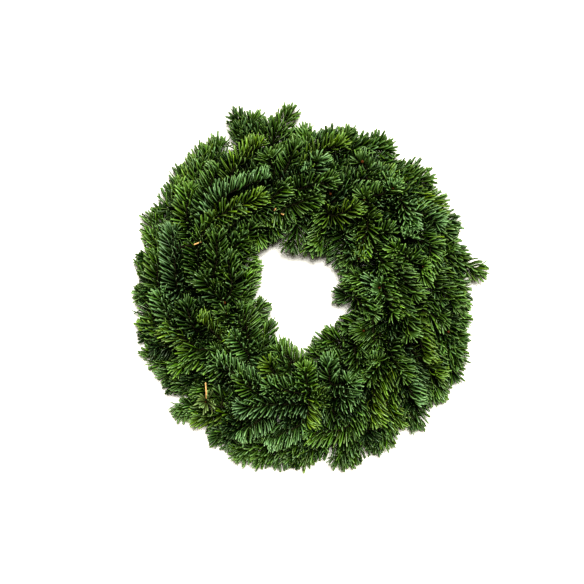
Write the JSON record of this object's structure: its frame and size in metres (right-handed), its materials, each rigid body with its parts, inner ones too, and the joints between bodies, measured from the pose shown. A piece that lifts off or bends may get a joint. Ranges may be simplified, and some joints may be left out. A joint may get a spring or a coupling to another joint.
{
  "type": "fresh evergreen wreath",
  "caption": "Round wreath of noble fir sprays tied with wire to a crimped wire ring, lying on its back, with an open middle.",
  "frame": {"origin": "middle of the outline, on the surface that the wreath's back lies on", "axes": "+Z out of the wreath's front, +Y towards its top as pictured, +X to the right seen from the front"},
  "size_m": [0.4964, 0.5092, 0.1032],
  "materials": {
    "rim_fir": "satin",
    "shoulder_fir": "satin",
    "crest_fir": "satin",
    "throat_fir": "satin",
    "ring_wire": "satin",
    "binding_wire": "satin"
  },
  "bodies": {
    "root": {"binding_wire": "binding_wire", "crest_spray_01": "crest_fir", "crest_spray_02": "crest_fir", "crest_spray_03": "crest_fir", "crest_spray_04": "crest_fir", "crest_spray_05": "crest_fir", "crest_spray_06": "crest_fir", "crest_spray_07": "crest_fir", "crest_spray_08": "crest_fir", "crest_spray_09": "crest_fir", "crest_spray_10": "crest_fir", "crest_spray_11": "crest_fir", "crest_spray_12": "crest_fir", "crest_spray_13": "crest_fir", "crest_spray_14": "crest_fir", "rim_spray_01": "rim_fir", "rim_spray_02": "rim_fir", "rim_spray_03": "rim_fir", "rim_spray_04": "rim_fir", "rim_spray_05": "rim_fir", "rim_spray_06": "rim_fir", "rim_spray_07": "rim_fir", "rim_spray_08": "rim_fir", "rim_spray_09": "rim_fir", "rim_spray_10": "rim_fir", "rim_spray_11": "rim_fir", "rim_spray_12": "rim_fir", "rim_spray_13": "rim_fir", "rim_spray_14": "rim_fir", "ring_wire": "ring_wire", "shoulder_spray_01": "shoulder_fir", "shoulder_spray_02": "shoulder_fir", "shoulder_spray_03": "shoulder_fir", "shoulder_spray_04": "shoulder_fir", "shoulder_spray_05": "shoulder_fir", "shoulder_spray_06": "shoulder_fir", "shoulder_spray_07": "shoulder_fir", "shoulder_spray_08": "shoulder_fir", "shoulder_spray_09": "shoulder_fir", "shoulder_spray_10": "shoulder_fir", "shoulder_spray_11": "shoulder_fir", "shoulder_spray_12": "shoulder_fir", "shoulder_spray_13": "shoulder_fir", "shoulder_spray_14": "shoulder_fir", "throat_spray_01": "throat_fir", "throat_spray_02": "throat_fir", "throat_spray_04": "throat_fir", "throat_spray_06": "throat_fir", "throat_spray_07": "throat_fir", "throat_spray_09": "throat_fir", "throat_spray_10": "throat_fir", "throat_spray_11": "throat_fir", "throat_spray_12": "throat_fir", "throat_spray_13": "throat_fir", "throat_spray_14": "throat_fir"}
  },
  "joints": []
}
